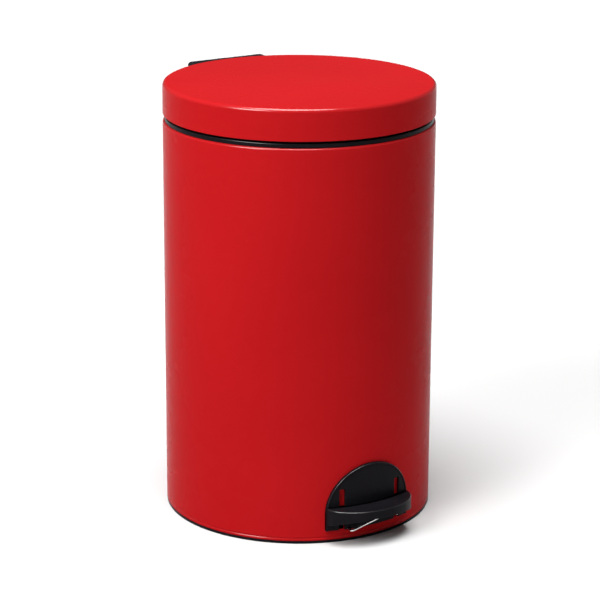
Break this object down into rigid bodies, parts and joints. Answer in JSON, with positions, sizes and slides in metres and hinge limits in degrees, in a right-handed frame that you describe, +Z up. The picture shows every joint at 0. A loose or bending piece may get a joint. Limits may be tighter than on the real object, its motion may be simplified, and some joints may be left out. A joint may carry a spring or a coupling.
{
  "type": "step-on waste can",
  "caption": "Round step-on can for oily waste: painted steel body and hinged lid, collar, pedal with guard plate, push rod and lift-out bucket with a bail.",
  "frame": {"origin": "centre of the can's flat underside, on its axis, at floor level", "axes": "+Z up along the can, -Y towards the pedal, +Y towards the lid hinge, +X to the right seen from the pedal side"},
  "size_m": [0.292, 0.332, 0.4714],
  "materials": {
    "red_paint": "satin-gloss powder coat",
    "black_moulding": "fine-textured moulded plastic",
    "galvanised_steel": "galvanised sheet",
    "bright_steel": "bright drawn wire",
    "zinc_fasteners": "zinc plated",
    "black_rubber": "soft rubber"
  },
  "bodies": {
    "can_body": {"outer_shell": "red_paint", "base_pan": "black_moulding", "base_plate": "galvanised_steel", "base_screws": "zinc_fasteners", "top_rim": "black_moulding", "hinge_block": "black_moulding", "hinge_screws": "zinc_fasteners", "hinge_nuts": "zinc_fasteners", "hinge_pin": "bright_steel", "pedal_guard": "black_moulding", "guard_nuts": "zinc_fasteners", "lever_bracket": "galvanised_steel", "bracket_rivets": "zinc_fasteners", "lever_pivot_pin": "bright_steel", "pivot_clips": "zinc_fasteners", "rod_guide": "galvanised_steel", "pedal_wire": "bright_steel"},
    "lid": {"lid_shell": "red_paint", "lid_hinge_arm": "galvanised_steel", "lid_hinge_cover": "black_moulding", "cover_screws": "zinc_fasteners", "lid_buffers": "black_rubber"},
    "pedal": {"pedal_pad": "black_moulding", "pad_rivets": "zinc_fasteners", "pedal_lever": "galvanised_steel"},
    "push_rod": {"push_rod": "galvanised_steel", "crank_pin": "bright_steel", "lever_pin": "bright_steel", "rod_pin_clips": "zinc_fasteners"},
    "bucket": {"inner_bucket": "galvanised_steel", "bucket_ears": "galvanised_steel", "ear_rivets": "zinc_fasteners"},
    "bail": {"bail_wire": "bright_steel", "bail_grip": "black_moulding"}
  },
  "joints": [
    {"name": "lid_hinge", "type": "hinge", "parent": "can_body", "child": "lid", "pos_m": [0, 0.152, 0.447], "axis": [-1, 0, 0], "range_deg": [0, 75]},
    {"name": "pedal_pivot", "type": "hinge", "parent": "can_body", "child": "pedal", "pos_m": [0, -0.07, 0.02], "axis": [1, 0, 0], "range_deg": [0, 6.05], "deforming": ["pedal_wire"]},
    {"name": "rod_pivot", "type": "hinge", "parent": "lid", "child": "push_rod", "pos_m": [0, 0.13772, 0.43604], "axis": [1, 0, 0], "range_deg": [0, 75]},
    {"name": "bucket_lift", "type": "slide", "parent": "can_body", "child": "bucket", "axis": [0, 0, 1], "range_m": [0, 0.008]},
    {"name": "bail_swing", "type": "hinge", "parent": "bucket", "child": "bail", "pos_m": [0, 0, 0.4415], "axis": [-1, 0, 0], "range_deg": [0, 4]}
  ],
  "couplings": [
    {"joint": "pedal_pivot", "follows": "lid_hinge", "ratio": 0.08059},
    {"joint": "rod_pivot", "follows": "lid_hinge", "ratio": 1}
  ]
}
